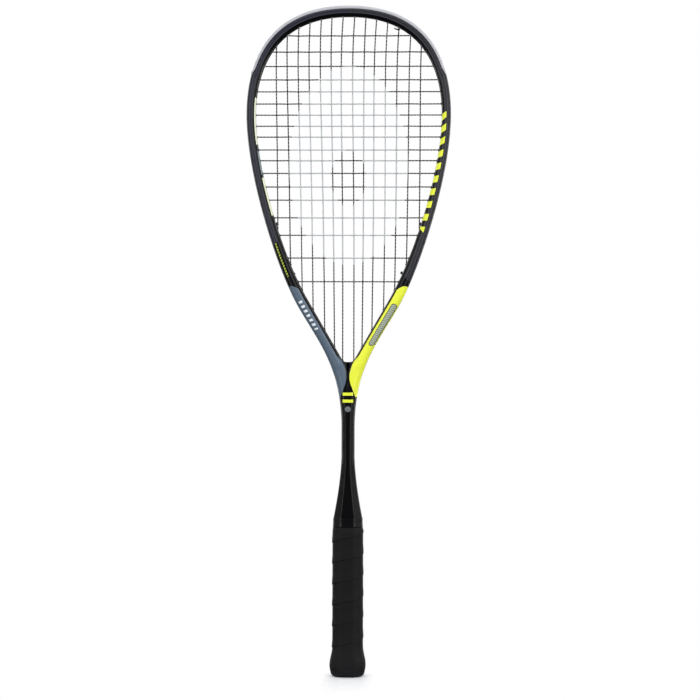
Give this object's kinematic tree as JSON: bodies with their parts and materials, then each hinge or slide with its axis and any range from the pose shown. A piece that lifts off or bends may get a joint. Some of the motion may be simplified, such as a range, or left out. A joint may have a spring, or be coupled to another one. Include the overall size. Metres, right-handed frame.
{
  "type": "squash racket",
  "caption": "Squash racket with a teardrop head, woven string bed, bumper, grommet strips and an octagonal wrapped handle.",
  "frame": {"origin": "bottom centre of the butt, where the racket stands", "axes": "+Z along the shaft towards the tip of the head, X across the head, Y normal to the strings"},
  "size_m": [0.2094, 0.033, 0.686],
  "materials": {
    "frame": "gloss lacquer over carbon fibre",
    "bumper_guard": "satin nylon",
    "grommets": "moulded nylon",
    "string": "coated multifilament",
    "handle_pallet": "lacquered polyurethane foam",
    "shaft_plug": "rigid foam",
    "butt_cap": "moulded, fine texture",
    "butt_badge": "plain domed disc",
    "fastener": "galvanised",
    "grip_tape": "soft matt polyurethane",
    "finishing_tape": "vinyl tape",
    "grip_collar": "smooth, slightly shiny"
  },
  "bodies": {
    "root": {"frame": "frame", "bumper_guard": "bumper_guard", "left_side_grommets": "grommets", "right_side_grommets": "grommets", "left_throat_grommets": "grommets", "right_throat_grommets": "grommets", "main_string": "string", "cross_string": "string", "handle_pallet": "handle_pallet", "shaft_plug": "shaft_plug", "butt_cap": "butt_cap", "butt_badge": "butt_badge", "butt_staples": "fastener", "grip_tack": "fastener", "grip_tape": "grip_tape", "finishing_tape": "finishing_tape", "grip_collar": "grip_collar"}
  },
  "joints": []
}
